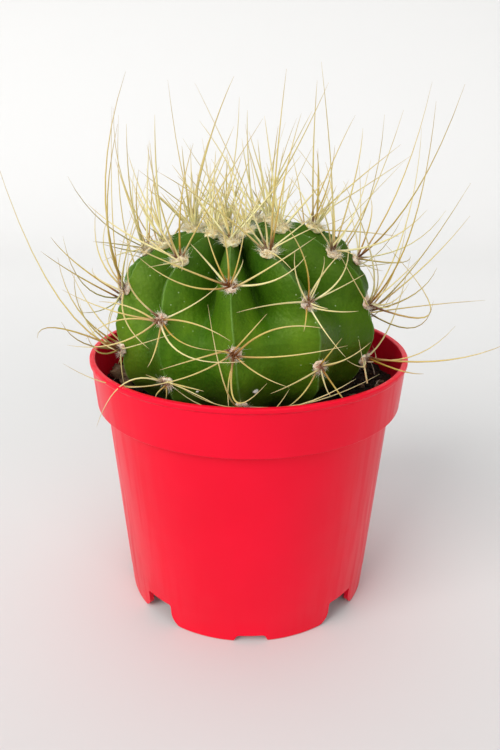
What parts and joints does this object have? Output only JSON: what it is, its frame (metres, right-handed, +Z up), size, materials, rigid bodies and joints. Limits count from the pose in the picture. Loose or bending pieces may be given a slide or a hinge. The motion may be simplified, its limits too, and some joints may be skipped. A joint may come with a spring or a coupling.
{
  "type": "potted round cactus",
  "caption": "Small round ribbed cactus with long curved spines in woolly clusters, set in a filled plastic nursery pot with a collar rim and notched foot.",
  "frame": {"origin": "middle of the pot's foot, on the surface it stands on", "axes": "+Z up along the pot's axis; the front faces -Y, the way the plant is seen; +X to the viewer's right"},
  "size_m": [0.131, 0.12, 0.1385],
  "materials": {
    "pot": "glossy red injection-moulded plastic",
    "soil": "dark loose peat",
    "skin": "satin waxy green skin",
    "spines": "cream wool, smooth golden spines"
  },
  "bodies": {
    "root": {"areole_01_1": "spines", "areole_01_2": "spines", "areole_01_3": "spines", "areole_01_4": "spines", "areole_02_1": "spines", "areole_02_2": "spines", "areole_02_3": "spines", "areole_03_1": "spines", "areole_03_2": "spines", "areole_03_3": "spines", "areole_03_4": "spines", "areole_04_1": "spines", "areole_04_2": "spines", "areole_04_3": "spines", "areole_04_4": "spines", "areole_05_1": "spines", "areole_05_2": "spines", "areole_05_3": "spines", "areole_05_4": "spines", "areole_06_1": "spines", "areole_06_2": "spines", "areole_06_3": "spines", "areole_06_4": "spines", "areole_07_1": "spines", "areole_07_2": "spines", "areole_07_3": "spines", "areole_08_1": "spines", "areole_08_2": "spines", "areole_08_3": "spines", "areole_08_4": "spines", "areole_09_1": "spines", "areole_09_2": "spines", "areole_09_3": "spines", "areole_10_1": "spines", "areole_10_2": "spines", "areole_10_3": "spines", "areole_10_4": "spines", "areole_11_1": "spines", "areole_11_2": "spines", "areole_11_3": "spines", "areole_11_4": "spines", "cactus_body": "skin", "pot": "pot", "soil": "soil"}
  },
  "joints": []
}
